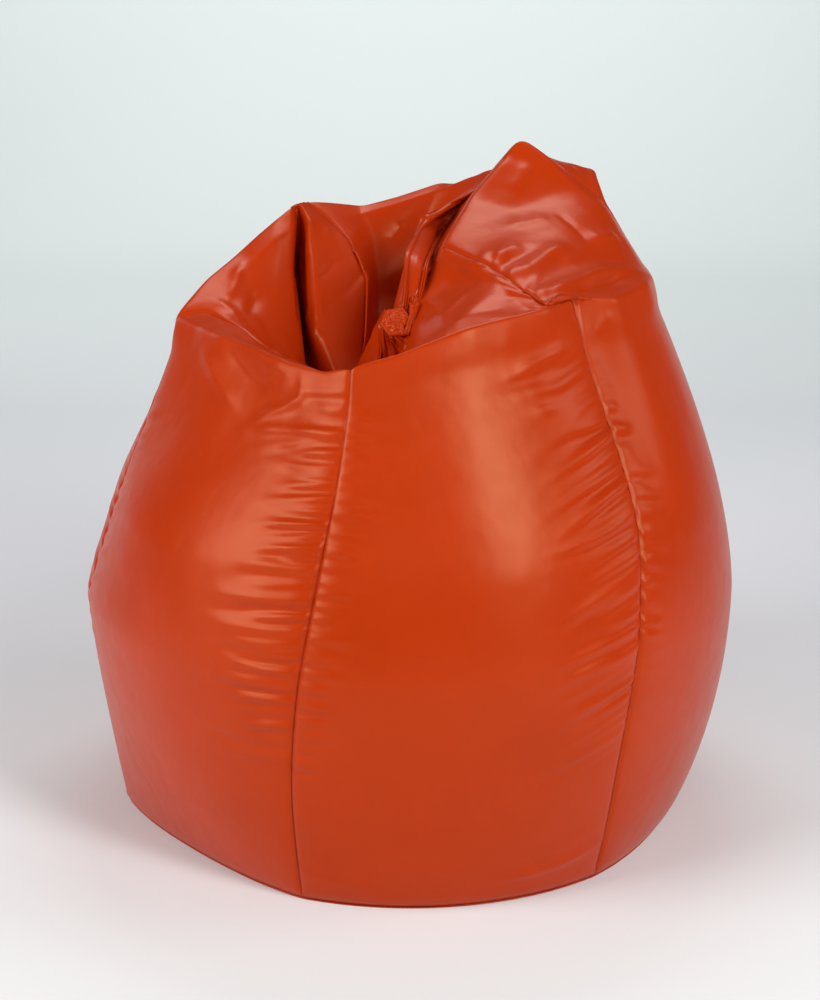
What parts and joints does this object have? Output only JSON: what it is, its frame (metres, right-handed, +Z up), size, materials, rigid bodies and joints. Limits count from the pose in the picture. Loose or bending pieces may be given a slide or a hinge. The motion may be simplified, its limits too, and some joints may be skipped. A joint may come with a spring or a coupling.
{
  "type": "bean bag chair",
  "caption": "Pear-shaped bean bag seat with a slack hollow top, a sewn coated-cloth cover, a zipped base, and a liner of foam beads.",
  "frame": {"origin": "on the floor, under the middle of the bag", "axes": "+Z up, -Y towards the low front lip of the hollow top, +X to the right of someone facing the front"},
  "size_m": [0.8408, 0.8322, 0.865],
  "materials": {
    "cover": "semi-gloss coated cloth, smooth",
    "stitching": "matt thread",
    "tape": "woven tape",
    "teeth": "moulded coil",
    "zip_metal": "plated, satin",
    "liner": "plain weave",
    "beads": "expanded foam beads"
  },
  "bodies": {
    "bag": {"side_panel_1": "cover", "side_panel_2": "cover", "side_panel_3": "cover", "side_panel_4": "cover", "side_panel_5": "cover", "side_panel_6": "cover", "side_seam_stitching_1": "stitching", "side_seam_stitching_2": "stitching", "side_seam_stitching_3": "stitching", "side_seam_stitching_4": "stitching", "side_seam_stitching_5": "stitching", "side_seam_stitching_6": "stitching", "top_cap": "cover", "cap_seam_stitching": "stitching", "base_seam_stitching": "stitching", "base_front_half": "cover", "base_rear_half": "cover", "zip_tape_front": "tape", "zip_tape_rear": "tape", "zip_teeth_front": "teeth", "zip_teeth_rear": "teeth", "zip_stop_closed_end": "zip_metal", "zip_stop_open_end": "zip_metal", "liner_bag": "liner", "liner_tie": "stitching", "bead_filling": "beads"},
    "slider": {"zip_slider": "zip_metal"},
    "pull": {"zip_pull": "zip_metal"}
  },
  "joints": [
    {"name": "slider_travel", "type": "slide", "parent": "bag", "child": "slider", "axis": [-1, 0, 0], "range_m": [0, 0.453]},
    {"name": "pull_hinge", "type": "hinge", "parent": "slider", "child": "pull", "pos_m": [0.227, 0, 0.0044], "axis": [0, -1, 0], "range_deg": [0, 150]}
  ]
}
